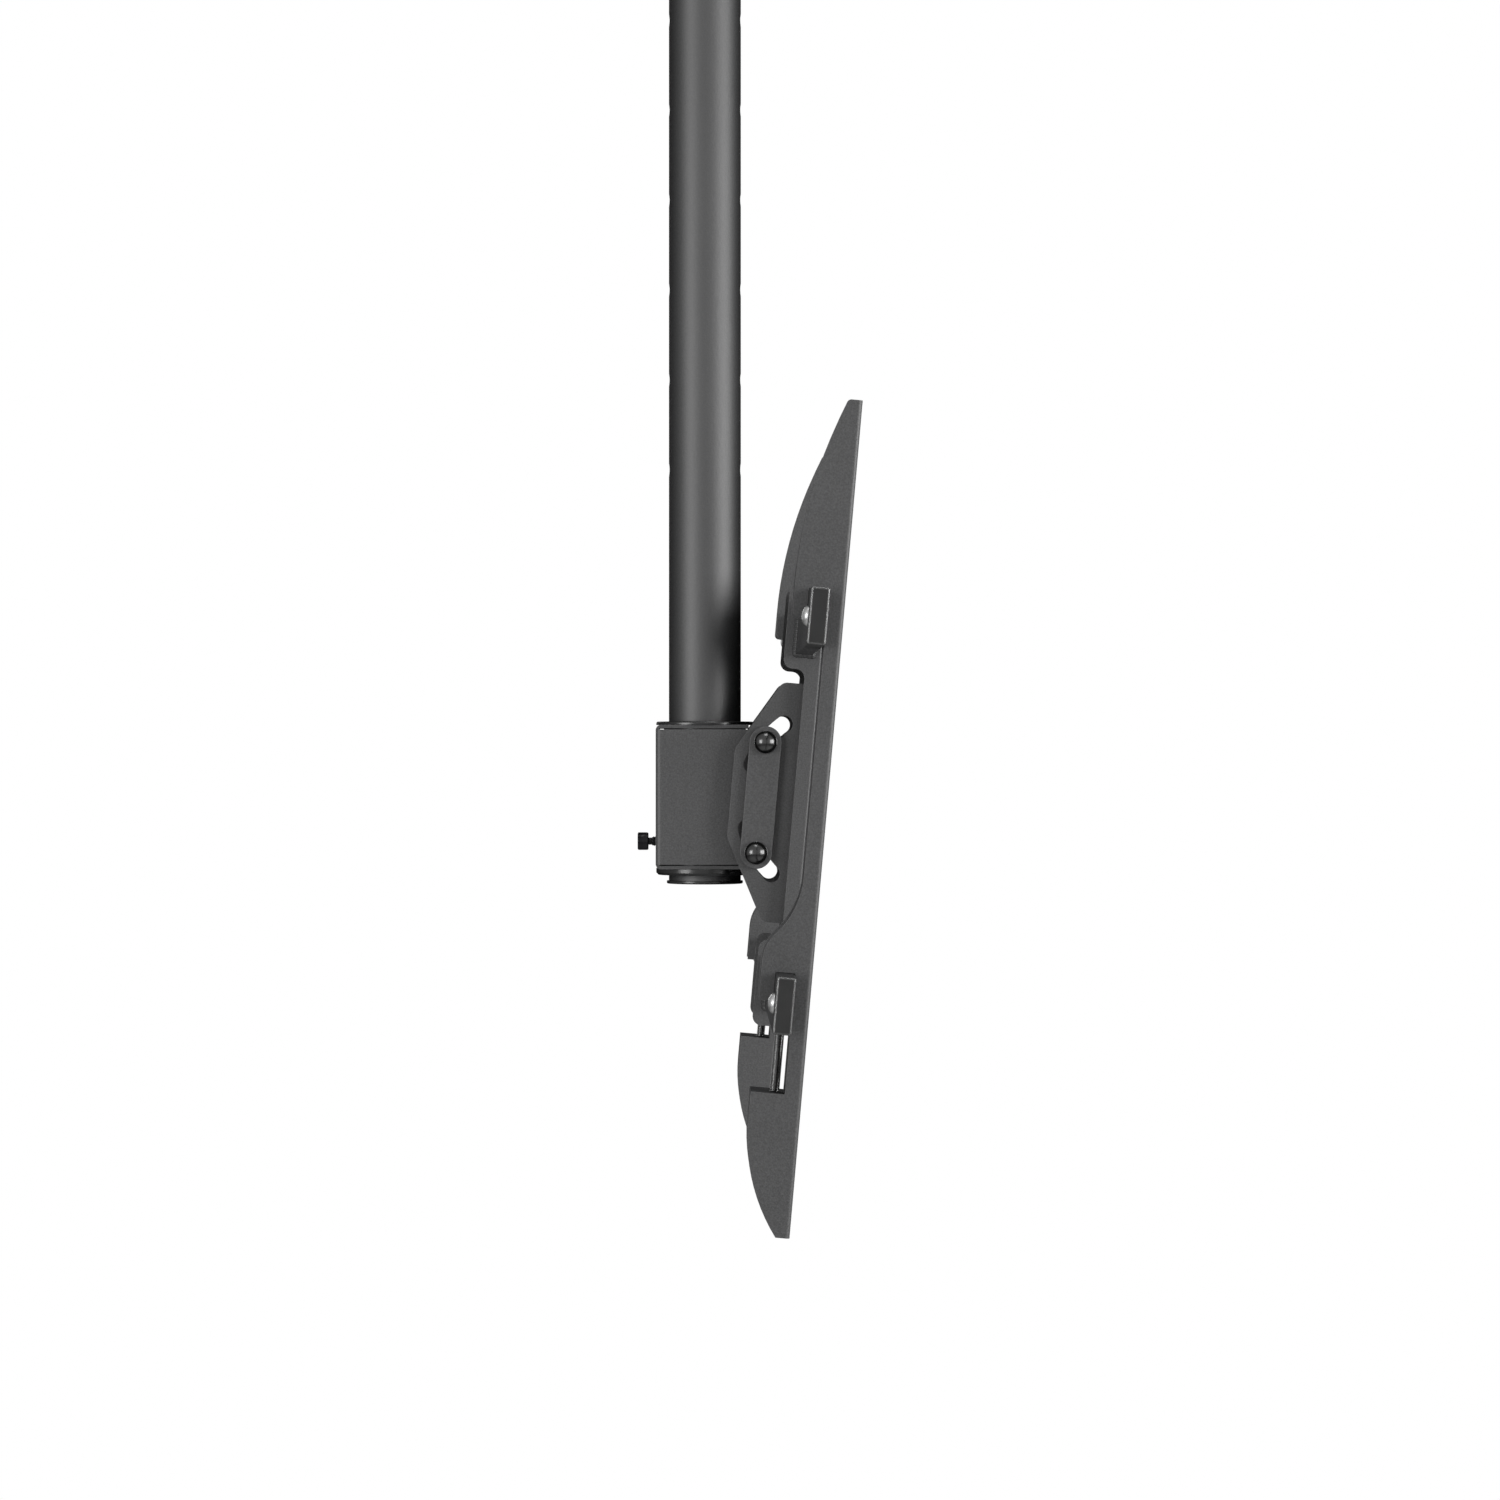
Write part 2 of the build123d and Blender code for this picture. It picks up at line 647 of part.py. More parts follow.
def arm(side):
    """Channel with two outlined webs, a slotted front flange and the lock screw's tab."""
    with BuildPart() as channel:
        with BuildSketch(side_plane(side * arm_offset - arm_width / 2)):
            add(arm_outline().line)
            make_face()
            back_edge = vertices().filter_by_position(Axis.X, -arm_depth - 0.01, -arm_depth + 0.01)
            for rail_at in (upper_rail, lower_rail):
                fillet(back_edge.filter_by_position(Axis.Y, rail_at - 0.01, rail_at + 0.01), hook_round)
            top_edge = vertices().filter_by_position(Axis.Y, arm_top - 0.01, arm_top + 0.01)
            fillet(top_edge.sort_by(Axis.X)[0], arm_tip_round)
        extrude(amount=arm_width)
        front_face = channel.faces().sort_by(Axis(on_frame(0, 0), frame_forward))[-1]
        fillet(front_face.edges().filter_by(runs_up_frame), arm_bend)
        with BuildSketch(side_plane(side * arm_offset - arm_width / 2 + arm_wall)):
            with Locations((-arm_wall - arm_depth, arm_middle)):
                Rectangle(2 * arm_depth, 2 * arm_length)
        extrude(amount=arm_width - 2 * arm_wall, mode=Mode.SUBTRACT)
        with BuildSketch(side_plane(side * arm_offset - arm_width / 2 + arm_wall / 2)):
            with Locations((-(arm_wall / 2 + arm_depth) / 2, tab_top - tab_thickness / 2)):
                Rectangle(arm_depth - arm_wall / 2, tab_thickness)
        extrude(amount=arm_width - arm_wall)
        middle = on_frame(0, arm_middle) - Vector(0, side * arm_offset, 0)
        with BuildSketch(Plane(middle, x_dir=(0, 1, 0), z_dir=frame_forward)):
            with Locations((0, hole_pattern / 2), (0, -hole_pattern / 2)):
                Circle(arm_hole_diameter / 2)
            with Locations(*[(0, row) for row in arm_slot_rows]):
                SlotOverall(arm_slot_length, arm_hole_diameter, rotation=90)
        extrude(amount=-2 * arm_wall, mode=Mode.SUBTRACT)
        lock_foot = on_frame(-lock_line, tab_top) - Vector(0, side * arm_offset, 0)
        with BuildSketch(Plane(lock_foot, x_dir=(0, 1, 0), z_dir=frame_up)):
            Circle(lock_diameter / 2 + shank_gap)
        extrude(amount=-2 * tab_thickness, mode=Mode.SUBTRACT)
    return channel


def lock_screw(side):
    """Socket screw that comes up through the tab to just under the lower rail."""
    tip = on_frame(-lock_line, lock_tip) - Vector(0, side * arm_offset, 0)
    axis_plane = Plane(tip, x_dir=(0, 1, 0), z_dir=-frame_up)
    with BuildPart() as screw:
        with BuildSketch(axis_plane):
            Circle(lock_diameter / 2)
        extrude(amount=lock_length)
        chamfer(screw.edges().sort_by(Axis.Z)[-1], lock_diameter / 10)
        with BuildSketch(axis_plane.offset(lock_length)):
            Circle(lock_head_diameter / 2)
        extrude(amount=lock_head_height)
        with BuildSketch(axis_plane.offset(lock_length + lock_head_height)):
            RegularPolygon(lock_socket_flats / 2, 6, major_radius=False)
        extrude(amount=-lock_head_height / 2, mode=Mode.SUBTRACT)
    return screw


def lock_nut(side):
    """Nut welded under the tab for the lock screw."""
    seat = on_frame(-lock_line, tab_top - tab_thickness) - Vector(0, side * arm_offset, 0)
    with BuildPart() as nut:
        with BuildSketch(Plane(seat, x_dir=(0, 1, 0), z_dir=-frame_up)):
            RegularPolygon(lock_nut_flats / 2, 6, major_radius=False)
            Circle(lock_diameter / 2 + shank_gap, mode=Mode.SUBTRACT)
        extrude(amount=lock_nut_height)
    return nut


for side, name in ((1, "near"), (-1, "far")):
    save(arm(side), f"arm_{name}")
    save(lock_screw(side), f"lock_screw_{name}")
    save(lock_nut(side), f"lock_nut_{name}")
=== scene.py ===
"""Dresses the ceiling mount: camera, studio light, materials, and the small pieces that steel ware shows.

Metres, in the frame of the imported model: +Z up, +X towards the screen, +Y away from the camera.
Sizes of the small pieces are in millimetres, and their places are measured on the solids.
"""
import json
from math import cos, pi, radians, sin

import bpy
import numpy as np
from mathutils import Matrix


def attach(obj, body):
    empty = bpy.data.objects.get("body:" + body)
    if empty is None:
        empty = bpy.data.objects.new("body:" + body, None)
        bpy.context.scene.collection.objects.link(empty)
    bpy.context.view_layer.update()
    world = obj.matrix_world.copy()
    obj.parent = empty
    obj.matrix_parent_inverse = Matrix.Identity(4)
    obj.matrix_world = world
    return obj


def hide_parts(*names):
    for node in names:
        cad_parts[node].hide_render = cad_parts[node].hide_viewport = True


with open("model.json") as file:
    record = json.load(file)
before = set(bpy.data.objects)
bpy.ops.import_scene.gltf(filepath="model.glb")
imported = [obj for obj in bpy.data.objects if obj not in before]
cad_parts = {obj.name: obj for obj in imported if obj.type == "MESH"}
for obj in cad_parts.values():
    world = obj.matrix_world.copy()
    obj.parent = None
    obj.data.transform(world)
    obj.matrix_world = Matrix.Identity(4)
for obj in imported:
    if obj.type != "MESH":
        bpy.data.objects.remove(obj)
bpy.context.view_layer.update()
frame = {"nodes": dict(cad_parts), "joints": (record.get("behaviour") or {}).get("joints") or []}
nodes = frame["nodes"]
joints = {joint["name"]: joint for joint in frame["joints"]}
scene = bpy.context.scene

MM = 0.001
SIDES = ((-1, "near"), (1, "far"))

# The model's directions, and those of the tilting frame at rest
X, Y, Z = np.eye(3)
LEAN = radians(5.0)
FRAME_BACK = np.array([-cos(LEAN), 0.0, sin(LEAN)])
FRAME_UP = np.array([sin(LEAN), 0.0, cos(LEAN)])

# Point of the screen plane behind the tilt axis, to a thousandth of a millimetre
AXIS_AHEAD = 15.0
TILT_AXIS = np.array(joints["frame_tilt"]["pos_m"])
SCREEN_POINT = np.round(TILT_AXIS + FRAME_BACK * AXIS_AHEAD * MM, 6)

# Sizes of the small pieces in millimetres
SET_HEAD_HEIGHT = 6.0
SOCKET_LEG, RAIL_LEG, STITCH_LEG = 3.0, 1.9, 2.5
STITCH_TUCK = 1.4  # root of a stitch weld, inside the round of the bracket's fold
STITCHES = ((-62.0, -34.0), (-15.0, 11.0), (30.0, 58.0))  # ends of each, up the frame
RIPPLE, WANDER = 2.2, 17.0  # lengths of the weld beads' short and long waves

# Camera, from the photograph's perspective
PHOTO_SIZE = 1500.0  # pixels along each edge
PHOTO_FOCAL = 4097.0  # focal length in those pixels
CAMERA_PLACE = (-0.00829, -2.280, -0.750)
CAMERA_SHIFT = 0.04

# Studio: what the lights face, each light's place, size and power, and the floor
AIM = (0.02, 0.0, -0.72)
LIGHTS = {
    "left": ((-1.94, -1.73, -0.45), (1.15, 1.3), 47.0),
    "right": ((2.17, -1.43, -0.45), (0.95, 1.3), 46.0),
    "right_strip": ((2.56, -0.50, -0.45), (0.7, 1.3), 52.0),
    "back": ((-0.8, 2.9, -0.1), (1.4, 1.4), 84.0),
    "top": ((0.2, -0.4, 2.2), (1.2, 1.2), 40.0),
}
FILL_LEVEL = 0.04  # white surroundings as matt faces receive them
FLOOR_SPREAD, FLOOR_HEIGHT = 5.5, -2.3
FLOOR_GLOW_START, FLOOR_GLOW_END = 2.35, 4.2  # distances over which the floor runs out to white


def on_frame(back, up, across):
    """Points on the tilting frame, from mm behind the screen plane, up along it and along Y."""
    back, up = np.asarray(back)[..., None], np.asarray(up)[..., None]
    return SCREEN_POINT + (FRAME_BACK * back + FRAME_UP * up + Y * across) * MM


def reach(node_name, direction, start=(0.0, 0.0, 0.0)):
    """Least and greatest place of a solid along a direction from a start, in mm to a thousandth."""
    mesh = nodes[node_name].data
    points = np.empty(3 * len(mesh.vertices))
    mesh.vertices.foreach_get("co", points)
    along = (points.reshape(-1, 3) - start) @ direction / MM
    return np.round([along.min(), along.max()], 3)


class Flow:
    """One output socket of a node tree. Arithmetic on it adds the math nodes, and add() any other node."""

    def __init__(self, tree, socket):
        self.tree = tree
        self.socket = socket

    def add(self, kind, inputs=None, output=0, **settings):
        """Add a node of a kind: its settings first, then its inputs, linked from flows or set to values."""
        node = self.tree.nodes.new(kind)
        for name, value in settings.items():
            setattr(node, name, value)
        for key, value in (inputs or {}).items():
            if isinstance(value, Flow):
                self.tree.links.new(value.socket, node.inputs[key])
            else:
                node.inputs[key].default_value = value
        return Flow(self.tree, node.outputs[output])

    def math(self, operation, first, second, clamp=False):
        """Result of one operation on two flows or values, held between 0 and 1 on request."""
        return self.add("ShaderNodeMath", {0: first, 1: second}, operation=operation, use_clamp=clamp)

    def __add__(self, other):
        return self.math("ADD", self, other)

    def __radd__(self, other):
        return self.math("ADD", other, self)

    def __sub__(self, other):
        return self.math("SUBTRACT", self, other)

    def __rsub__(self, other):
        return self.math("SUBTRACT", other, self)

    def __mul__(self, other):
        return self.math("MULTIPLY", self, other)

    def __rmul__(self, other):
        return self.math("MULTIPLY", other, self)

    def clamped(self):
        """This value, held between 0 and 1."""
        return self.math("ADD", self, 0.0, clamp=True)

    def noise(self, scale, detail, roughness=0.5):
        """Cloudy value at this place, with a scale in cells per metre."""
        return self.add(
            "ShaderNodeTexNoise", {"Vector": self, "Scale": scale, "Detail": detail, "Roughness": roughness}
        )

    def ramp(self, low, high, start, end):
        """Map from one span of values to another, held at both ends."""
        return self.add(
            "ShaderNodeMapRange",
            {"Value": self, "From Min": start, "From Max": end, "To Min": low, "To Max": high},
        )

    def tint(self, dark, light):
        """Colour between two shades by this value."""
        return self.add(
            "ShaderNodeMix", {0: self, 6: (*dark, 1.0), 7: (*light, 1.0)}, output=2, data_type="RGBA"
        )


def new_material(name):
    """Empty node material: its object coordinates as a flow, and its shader node."""
    material = bpy.data.materials.new(name)
    material.use_nodes = True
    tree = material.node_tree
    tree.nodes.clear()
    shader = tree.nodes.new("ShaderNodeBsdfPrincipled")
    result = tree.nodes.new("ShaderNodeOutputMaterial")
    tree.links.new(shader.outputs["BSDF"], result.inputs["Surface"])
    place = Flow(tree, tree.nodes.new("ShaderNodeTexCoord").outputs["Object"])
    return material, place, shader


def feed(shader, **values):
    """Set a shader's sockets by name: flows are linked, plain values are set."""
    names = {
        "base": "Base Color", "rough": "Roughness", "metal": "Metallic", "normal": "Normal",
        "level": "Specular IOR Level", "glow": "Emission Color", "glow_level": "Emission Strength",
    }
    tree = shader.id_data
    for key, value in values.items():
        socket = shader.inputs[names[key]]
        if isinstance(value, Flow):
            tree.links.new(value.socket, socket)
        else:
            socket.default_value = value


def overlay(place, shader, share, layer):
    """Mix a second shader over a material's own one by a share between 0 and 1."""
    tree = shader.id_data
    result = next(node for node in tree.nodes if node.type == "OUTPUT_MATERIAL")
    both = place.add("ShaderNodeMixShader", {0: share, 1: Flow(tree, shader.outputs["BSDF"]), 2: layer})
    tree.links.new(both.socket, result.inputs["Surface"])


def satin(place, shader, share, rough, normal, fade=0.5):
    """Lay a soft gloss over a shader: its share of mirrored light is full face on and fades out edge on.

    The share falls with the cosine of the angle of view, to a power that is 1 at a fade of 0.5 and grows
    with it.
    """
    gloss_layer = place.add(
        "ShaderNodeBsdfAnisotropic", {"Color": (1.0, 1.0, 1.0, 1.0), "Roughness": rough, "Normal": normal}
    )
    edge_on = place.add("ShaderNodeLayerWeight", {"Blend": fade}, output="Facing")
    overlay(place, shader, share * (1.0 - edge_on), gloss_layer)


def rounded_normal(place, radius):
    """Shading normal that is rounded at sharp edges."""
    return place.add("ShaderNodeBevel", {"Radius": radius}, samples=6)


def worn_edge(place, radius):
    """Rounded shading normal at sharp edges, and a mask that is 1 on the edge and 0 on flat faces."""
    rounded = rounded_normal(place, radius)
    plain = place.add("ShaderNodeNewGeometry", output="Normal")
    facing = place.add(
        "ShaderNodeVectorMath", {0: rounded, 1: plain}, output="Value", operation="DOT_PRODUCT"
    )
    return rounded, ((1.0 - facing) * 6.0).clamped()


def bump(place, height, normal, strength, distance=0.0001):
    """Shading normal with a fine relief on it."""
    return place.add(
        "ShaderNodeBump", {"Strength": strength, "Distance": distance, "Height": height, "Normal": normal}
    )


def scaled(colour, factor):
    """Colour made darker or lighter by a factor."""
    return tuple(value * factor for value in colour)


def powder_coat(name, dark, light, rough, share, grain_size=0.9, fade=0.5):
    """Satin powder coat: a fine pebbled skin, slightly uneven in tone, paler and smoother on edges."""
    material, place, shader = new_material(name)
    grain = place.noise(1000.0 / grain_size, 3.0, 0.65)
    pebble = place.noise(430.0, 1.0)
    cloud = place.noise(16.0, 3.0)
    rounded, rim = worn_edge(place, 0.0003)
    shade = (grain * 0.8 + cloud * 0.2).ramp(0.0, 1.0, 0.32, 0.68).tint(dark, light)
    rim_tone = scaled(light, 1.2)
    base = place.add(
        "ShaderNodeMix", {0: rim * 0.55, 6: shade, 7: (*rim_tone, 1.0)}, output=2, data_type="RGBA"
    )
    bumped = bump(place, grain * 0.55 + pebble * 0.45, rounded, 0.5, 0.00022)
    feed(
        shader, base=base, normal=bumped, level=0.0,
        rough=(grain * 0.14 + cloud * 0.10).ramp(rough - 0.06, rough + 0.08, 0.05, 0.2) - rim * 0.08,
    )
    satin(place, shader, rim * 0.02 + share, rough, bumped, fade)
    return material


def smooth_metal(name, base, rough, share):
    """Machined metal under a dark finish: handling haze, fine pits and a soft gloss."""
    material, place, shader = new_material(name)
    haze = place.noise(240.0, 3.0)
    pits = place.noise(2600.0, 1.0)
    rounded, rim = worn_edge(place, 0.0003)
    bumped = bump(place, pits, rounded, 0.12)
    feed(
        shader, base=haze.ramp(0.0, 1.0, 0.35, 0.65).tint(base, scaled(base, 1.6)), normal=bumped, level=0.0,
        rough=haze.ramp(rough - 0.05, rough + 0.07, 0.3, 0.7) + rim * 0.05,
    )
    satin(place, shader, rim * 0.01 + share, rough, bumped)
    return material


def moulded_plastic(name, base, rough, share, polish=0.02, edge=0.0004):
    """Moulded plastic: spark-eroded grain and a soft bloom, smoother and more polished on edges."""
    material, place, shader = new_material(name)
    spark = place.noise(1700.0, 2.0)
    bloom = place.noise(60.0, 2.0)
    rounded, rim = worn_edge(place, edge)
    tone = (bloom * 0.7 + spark * 0.3).ramp(0.0, 1.0, 0.35, 0.65)
    bumped = bump(place, spark, rounded, 0.25)
    feed(
        shader, base=tone.tint(base, scaled(base, 1.45)), normal=bumped, level=0.0,
        rough=bloom.ramp(rough - 0.05, rough + 0.05, 0.3, 0.7) - rim * 0.1,
    )
    satin(place, shader, rim * polish + share, rough, bumped)
    return material


def plated_steel(name, base, rough):
    """Zinc plate on drawn steel: bright, with fine draw lines and dull patches."""
    material, place, shader = new_material(name)
    dull = place.noise(300.0, 3.0)
    stretched = place.add("ShaderNodeMapping", {"Vector": place, "Scale": (1.0, 1.0, 0.06)})
    lines = stretched.noise(3000.0, 2.0)
    tone = (dull * 0.6 + lines * 0.4).ramp(0.0, 1.0, 0.35, 0.65)
    feed(
        shader, base=tone.tint(scaled(base, 0.72), base), metal=1.0,
        normal=bump(place, lines, rounded_normal(place, 0.0002), 0.1),
        rough=dull.ramp(rough - 0.06, rough + 0.12, 0.3, 0.7),
    )
    return material


coat_sheet = powder_coat(
    "powder_coat_sheet", dark=(0.027, 0.027, 0.0275), light=(0.064, 0.064, 0.065), rough=0.50, share=0.038
)
coat_tube = powder_coat(
    "powder_coat_tube", dark=(0.007, 0.007, 0.0073), light=(0.018, 0.018, 0.0185), rough=0.53, share=0.064,
    fade=0.72,
)
coat_weld = powder_coat(
    "powder_coat_weld", dark=(0.022, 0.022, 0.0225), light=(0.046, 0.046, 0.047), rough=0.44, share=0.034,
    grain_size=0.7,
)
dome_black = smooth_metal("blackened_dome", (0.0015, 0.0015, 0.0015), rough=0.23, share=0.062)
screw_black = smooth_metal("blackened_screw", (0.006, 0.006, 0.007), rough=0.28, share=0.014)
bright_plate = smooth_metal("bright_plate", (0.03, 0.03, 0.03), rough=0.38, share=0.40)
dark_thread = smooth_metal("dark_thread", (0.006, 0.006, 0.006), rough=0.16, share=0.220)
bush_plastic = moulded_plastic("black_bush_plastic", (0.004, 0.004, 0.004), rough=0.26, share=0.036)
cap_plastic = moulded_plastic(
    "black_cap_plastic", (0.014, 0.014, 0.014), rough=0.32, share=0.022, polish=0.75, edge=0.0012
)
zinc = plated_steel("zinc_plate", (0.62, 0.62, 0.60), rough=0.28)

FINISH = {
    "ceiling_plate": coat_sheet, "collar": coat_sheet, "spine": coat_sheet, "tilt_bracket": coat_sheet,
    "tilt_link_near": coat_sheet, "tilt_link_far": coat_sheet,
    "upper_rail": coat_sheet, "lower_rail": coat_sheet, "arm_near": coat_sheet, "arm_far": coat_sheet,
    "socket_tube": coat_tube, "pole": coat_tube,
    "tilt_bolts": dome_black, "tilt_nuts": dome_black,
    "set_screw": screw_black, "socket_bolt": screw_black, "socket_nut": screw_black,
    "rail_stop_screws": bright_plate, "carrier_pin": zinc,
    "lock_screw_near": dark_thread, "lock_screw_far": dark_thread,
    "lock_nut_near": dark_thread, "lock_nut_far": dark_thread,
    "pole_end_cap": bush_plastic, "upper_bush": bush_plastic, "lower_bush": bush_plastic,
    "tilt_spacers": bush_plastic,
    "upper_rail_cap_near": cap_plastic, "upper_rail_cap_far": cap_plastic,
    "lower_rail_cap_near": cap_plastic, "lower_rail_cap_far": cap_plastic,
}
for node_name, finish in FINISH.items():
    mesh = nodes[node_name].data
    mesh.materials.clear()
    mesh.materials.append(finish)


def ring_faces(rows, columns, closed):
    """Faces between rings of points: the last ring joins the first, or a flat lid closes each end."""
    row = np.arange(rows if closed else rows - 1)[:, None]
    column = np.arange(columns)[None, :]
    next_row, next_column = (row + 1) % rows, (column + 1) % columns
    corners = np.stack(
        np.broadcast_arrays(
            row * columns + column, row * columns + next_column,
            next_row * columns + next_column, next_row * columns + column,
        ),
        axis=-1,
    )
    walls = corners.reshape(-1, 4).tolist()
    if closed:
        return walls
    ring = np.arange(columns)
    return [*walls, ring[::-1].tolist(), (ring + (rows - 1) * columns).tolist()]


def make_piece(name, points, material, body, sharp, closed=False):
    """Mesh object from rings of points, shaded smooth up to an angle in degrees, riding on a body."""
    mesh = bpy.data.meshes.new(name)
    mesh.from_pydata(points.reshape(-1, 3).tolist(), [], ring_faces(*points.shape[:2], closed))
    mesh.materials.append(material)
    mesh.validate()
    mesh.set_sharp_from_angle(angle=radians(sharp))
    mesh.polygons.foreach_set("use_smooth", np.ones(len(mesh.polygons), bool))
    piece = bpy.data.objects.new(name, mesh)
    scene.collection.objects.link(piece)
    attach(piece, body)
    return piece


def turned(base, axis, along, radius):
    """Rings of a turned form: lengths along its axis, and a radius for each ring and angle, in mm.

    The axis is a unit direction square to Y.
    """
    first = np.cross(Y, axis)
    second = np.cross(axis, first)
    angle = np.linspace(0.0, 2 * pi, radius.shape[1], endpoint=False)
    spoke = np.cos(angle)[:, None] * first + np.sin(angle)[:, None] * second
    return base + (along[:, None, None] * axis + radius[:, :, None] * spoke) * MM


def thread_radius(along, count, core, crest, pitch, fade):
    """Radius of a screw thread at each ring and angle, faded out at both ends.

    The place within one pitch, moved on by the angle's share of a turn, gives a ridge with sloping flanks
    and a flat crest.
    """
    angle = np.arange(count) / count
    phase = (along[:, None] / pitch - angle[None, :]) % 1.0
    ridge = np.clip(1.35 - np.abs(phase - 0.5) * 3.2, 0.0, 1.0)
    ends = np.clip(np.minimum(along - along[0], along[-1] - along) / fade, 0.0, 1.0)
    return core + (crest - core) * ridge * ends[:, None]


def lock_screw(name):
    """Lock screw of one arm: threaded from its tip, with a socket head under the tab.

    Lengths run down from the tip.
    """
    count = 24
    along = np.arange(0.0, 58.0, 0.1)
    threads = thread_radius(along, count, core=2.12, crest=2.5, pitch=0.8, fade=0.9)
    head_along = np.array([58.2, 61.9, 62.0, 62.15, 62.5, 65.5, 65.85, 66.0, 66.0, 63.9, 63.8])
    head_radius = np.array([2.3, 2.3, 4.3, 4.62, 4.7, 4.7, 4.62, 4.4, 2.35, 2.2, 0.4])
    tip_radius = np.full((1, count), 1.5)
    rings = np.concatenate([[0.0], along, head_along])
    radius = np.concatenate([tip_radius, threads, np.repeat(head_radius[:, None], count, axis=1)])
    axis_back = reach(f"lock_screw_{name}", FRAME_BACK, SCREEN_POINT).mean()
    tip_up = reach(f"lock_screw_{name}", FRAME_UP, SCREEN_POINT)[1]
    tip = on_frame(axis_back, tip_up, reach(f"arm_{name}", Y).mean())
    points = turned(tip, -FRAME_UP, rings, radius)
    piece = make_piece(f"lock_screw_thread_{name}", points, dark_thread, f"{name}_lock", sharp=30.0)
    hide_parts(f"lock_screw_{name}")


def set_screw():
    """Set screw: knurled socket head, bare thread between the head and the collar.

    Lengths run forward from the head's front face. The knurl is a row of fine grooves round it.
    """
    count, grooves, groove_depth = 72, 36, 0.16
    angle = np.linspace(0.0, 2 * pi, count, endpoint=False)
    knurl = groove_depth * np.abs(np.sin(angle * grooves / 2))
    head_along = np.array([-2.8, -2.9, -6.0, -6.0, -5.75, -5.3, -5.2, -1.0, -0.9, -0.35, 0.0])
    head_radius = np.array([0.5, 2.75, 2.85, 4.2, 4.75, 4.86, 4.9, 4.9, 4.86, 4.8, 4.4])
    grooved = np.array([0, 0, 0, 0, 0, 0, 1, 1, 0, 0, 0])
    head = head_radius[:, None] - grooved[:, None] * knurl
    neck_along = np.array([0.05, 1.9, 2.2])
    neck = np.repeat(np.array([[2.0], [1.95], [2.3]]), count, axis=1)
    along = np.arange(2.3, 11.0, 0.1)
    threads = thread_radius(along, count, core=2.3, crest=2.7, pitch=1.0, fade=0.5)
    rings = np.concatenate([head_along, neck_along, along])
    radius = np.concatenate([head, neck, threads])
    seat = X * (reach("set_screw", X)[0] + SET_HEAD_HEIGHT) + Z * reach("set_screw", Z).mean()
    points = turned(seat * MM, X, rings, radius)
    piece = make_piece("set_screw_knurled", points, screw_black, "swivel", sharp=30.0)
    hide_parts("set_screw")


def weld_bead(name, path, out_first, out_second, leg, body, closed):
    """Fillet weld along a path: a rippled quarter bead between the two directions given at each point.

    The leg swells by a tenth with each short wave and by a twentieth with each long one. The bead's face
    turns from one direction to the other and is flattest halfway.
    """
    step = np.linalg.norm(np.diff(path, axis=0, append=path[:1] if closed else path[-1:]), axis=1)
    run = np.concatenate([[0.0], np.cumsum(step)[:-1]]) / MM
    swell = 1.0 + 0.10 * np.cos(2 * pi * run / RIPPLE) + 0.05 * np.cos(2 * pi * run / WANDER + 1.0)
    if not closed:
        # An open bead ends in a rounded nose, as long as its leg
        to_end = np.minimum(run, run[-1] - run)
        swell = swell * np.sqrt(1.0 - np.clip(1.0 - to_end / leg, 0.0, 0.97) ** 2)
    turn = np.linspace(0.0, pi / 2, 7)[:, None]
    first = np.broadcast_to(out_first, path.shape)[:, None, :]
    second = np.broadcast_to(out_second, path.shape)[:, None, :]
    size = (leg * swell * MM)[:, None, None]
    flat = 0.82 + 0.18 * np.abs(np.cos(2 * turn))
    shell = path[:, None, :] + (first * np.cos(turn) + second * np.sin(turn)) * size * flat
    points = np.concatenate([shell, path[:, None, :]], axis=1)
    # Each ring runs the way that turns the faces outwards
    if np.dot(np.cross(first[0, 0], second[0, 0]), path[1] - path[0]) < 0.0:
        points = points[:, ::-1]
    make_piece(name, points, coat_weld, body, sharp=50.0, closed=closed)


def circle_path(radius, height, count=220):
    """Level circle round the Z axis from sizes in mm, with the direction out of it at each point."""
    angle = np.linspace(0.0, 2 * pi, count, endpoint=False)
    spoke = np.stack([np.cos(angle), np.sin(angle), np.zeros(count)], axis=1)
    return (spoke * radius + Z * height) * MM, spoke


def box_path(back_ends, up_ends, across, count=320):
    """Closed path round a rail's section at one place along Y, with the direction out of the rail.

    A point runs round the rectangle at an even pace: its distance along the edge, counted from one corner,
    gives its place on the four sides in turn.
    """
    wide, tall = np.ptp(back_ends), np.ptp(up_ends)
    run = np.linspace(0.0, 2 * (wide + tall), count, endpoint=False)
    back = back_ends[0] + np.clip(run, 0, wide) - np.clip(run - wide - tall, 0, wide)
    up = up_ends[0] + np.clip(run - wide, 0, tall) - np.clip(run - 2 * wide - tall, 0, tall)
    edge = np.searchsorted([wide, wide + tall, 2 * wide + tall], run, side="right")
    outs = np.stack([-FRAME_UP, FRAME_BACK, FRAME_UP, -FRAME_BACK])[edge]
    smooth = outs + np.roll(outs, 1, axis=0) + np.roll(outs, -1, axis=0)
    return on_frame(back, up, across), smooth / np.linalg.norm(smooth, axis=1)[:, None]


def socket_weld():
    """Bead round the socket tube under the ceiling plate."""
    path, outward = circle_path(reach("socket_tube", X)[1], reach("ceiling_plate", Z)[0])
    weld_bead("socket_weld", path, outward, -Z, SOCKET_LEG, "hanger", closed=True)


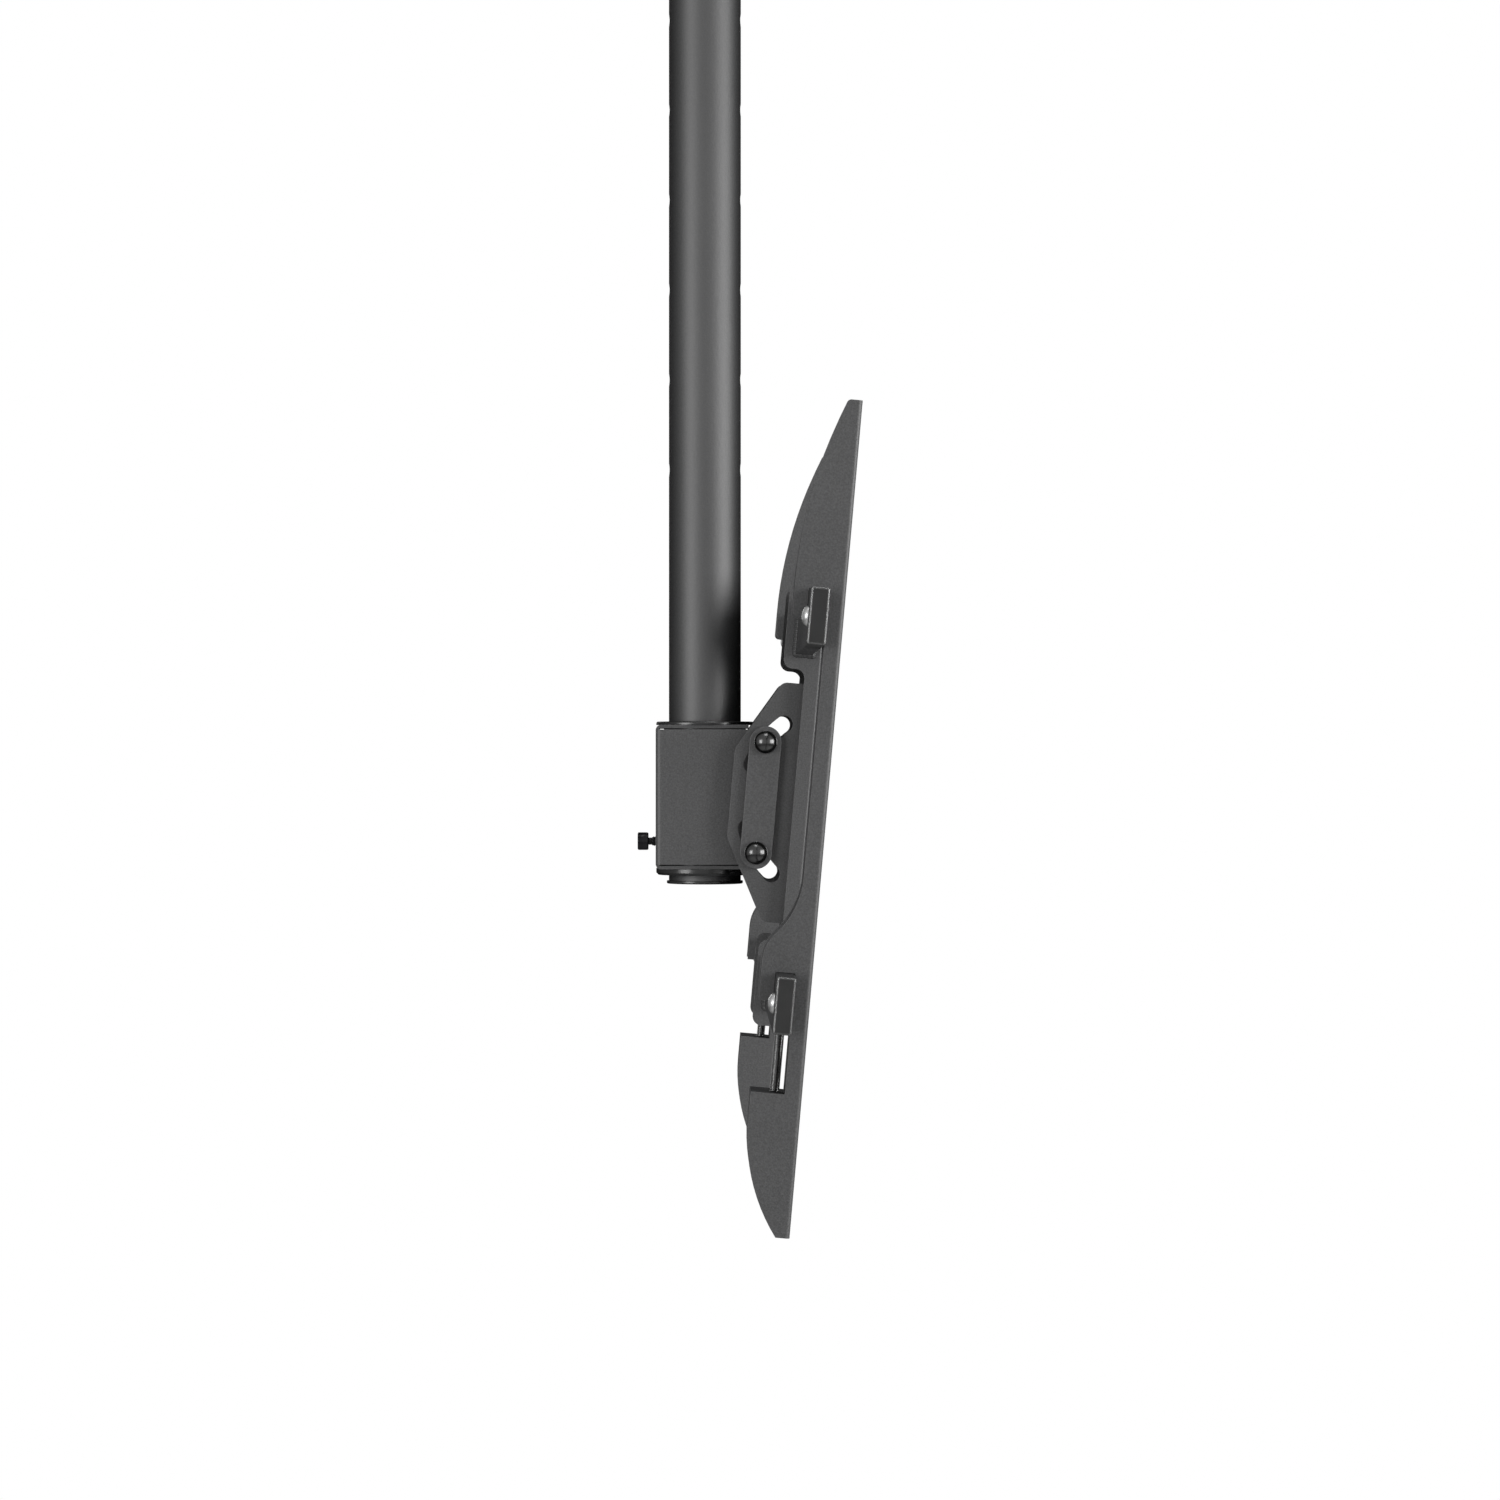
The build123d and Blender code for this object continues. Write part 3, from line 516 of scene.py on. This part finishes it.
def rail_welds():
    """Beads round both rails where they leave the spine's flanges."""
    flange = reach("spine", Y)[1]
    for rail in ("upper", "lower"):
        back_ends = reach(f"{rail}_rail", FRAME_BACK, SCREEN_POINT)
        up_ends = reach(f"{rail}_rail", FRAME_UP, SCREEN_POINT)
        for side, side_name in SIDES:
            path, outward = box_path(back_ends, up_ends, side * flange)
            name = f"rail_weld_{rail}_{side_name}"
            weld_bead(name, path, outward, side * Y, RAIL_LEG, "frame", closed=True)


def stitch_welds():
    """Short beads that hold the tilt bracket's folds to the spine's web."""
    web = reach("tilt_bracket", FRAME_BACK, SCREEN_POINT)[0]
    fold = reach("tilt_bracket", Y)[1] - STITCH_TUCK
    for side, side_name in SIDES:
        for number, (low, high) in enumerate(STITCHES, 1):
            path = on_frame(web, np.linspace(low, high, 90), side * fold)
            name = f"bracket_weld_{side_name}_{number}"
            weld_bead(name, path, side * Y, FRAME_BACK, STITCH_LEG, "frame", closed=False)


def photo_camera():
    """Level camera at the photograph's place."""
    data = bpy.data.cameras.new("photo_camera")
    data.sensor_width = 36.0
    data.lens = PHOTO_FOCAL / PHOTO_SIZE * data.sensor_width
    data.shift_x = CAMERA_SHIFT
    data.clip_end = 50.0
    camera = bpy.data.objects.new("photo_camera", data)
    camera.location = CAMERA_PLACE
    camera.rotation_euler = (radians(90.0), 0.0, 0.0)
    scene.collection.objects.link(camera)
    scene.camera = camera


def soft_box(name, place, size, power):
    """Rectangular studio light that faces the mount."""
    data = bpy.data.lights.new(name, "AREA")
    data.shape = "RECTANGLE"
    data.size, data.size_y = size
    data.energy = power
    light = bpy.data.objects.new(name, data)
    light.location = place
    away = np.array(place) - np.array(AIM)
    level = np.hypot(away[0], away[1])
    light.rotation_euler = (np.arctan2(level, away[2]), 0.0, np.arctan2(away[0], -away[1]))
    scene.collection.objects.link(light)


def studio_world():
    """White surroundings: full as seen, mirrored or through clear things, and a faint fill on matt faces."""
    world = bpy.data.worlds.new("studio")
    world.use_nodes = True
    scene.world = world
    tree = world.node_tree
    tree.nodes.clear()
    rays = tree.nodes.new("ShaderNodeLightPath").outputs
    seen = Flow(tree, rays["Is Camera Ray"])
    mirrored = Flow(tree, rays["Is Glossy Ray"]) + Flow(tree, rays["Is Transmission Ray"])
    level = (seen + mirrored).clamped() * (1.0 - FILL_LEVEL) + FILL_LEVEL
    backdrop = tree.nodes.new("ShaderNodeBackground")
    backdrop.inputs["Color"].default_value = (1.0, 1.0, 1.0, 1.0)
    tree.links.new(level.socket, backdrop.inputs["Strength"])
    result = tree.nodes.new("ShaderNodeOutputWorld")
    tree.links.new(backdrop.outputs["Background"], result.inputs["Surface"])


def floor_finish():
    """Pale floor that runs out to white away from its middle and is clear from underneath.

    As the camera sees it, its glow grows with the distance from the middle up to full white.
    """
    material, place, shader = new_material("pale_floor")
    tone = place.noise(3.0, 2.0)
    seen = place.add("ShaderNodeLightPath", output="Is Camera Ray")
    distance = place.add("ShaderNodeVectorMath", {0: place}, output="Value", operation="LENGTH")
    glow = seen * distance.ramp(0.66, 1.0, FLOOR_GLOW_START, FLOOR_GLOW_END)
    feed(
        shader, base=tone.tint((0.80, 0.80, 0.80), (0.84, 0.84, 0.84)), rough=0.8, level=0.0,
        glow=glow.tint((0.0, 0.0, 0.0), (1.0, 1.0, 1.0)), glow_level=1.0,
    )
    underneath = place.add("ShaderNodeNewGeometry", output="Backfacing")
    overlay(place, shader, underneath, place.add("ShaderNodeBsdfTransparent"))
    return material


def pale_floor():
    """Floor far below the mount, which keeps the shadow under it."""
    mesh = bpy.data.meshes.new("floor")
    signs = ((-1, -1), (1, -1), (1, 1), (-1, 1))
    corners = [(x * FLOOR_SPREAD, y * FLOOR_SPREAD, FLOOR_HEIGHT) for x, y in signs]
    mesh.from_pydata(corners, [], [(0, 1, 2, 3)])
    mesh.materials.append(floor_finish())
    floor = bpy.data.objects.new("floor", mesh)
    scene.collection.objects.link(floor)


for _, side_name in SIDES:
    lock_screw(side_name)
set_screw()
socket_weld()
rail_welds()
stitch_welds()

photo_camera()
for light_name, (place, size, power) in LIGHTS.items():
    soft_box(light_name, place, size, power)
studio_world()
pale_floor()
scene.view_settings.view_transform = "Standard"

bpy.context.view_layer.update()
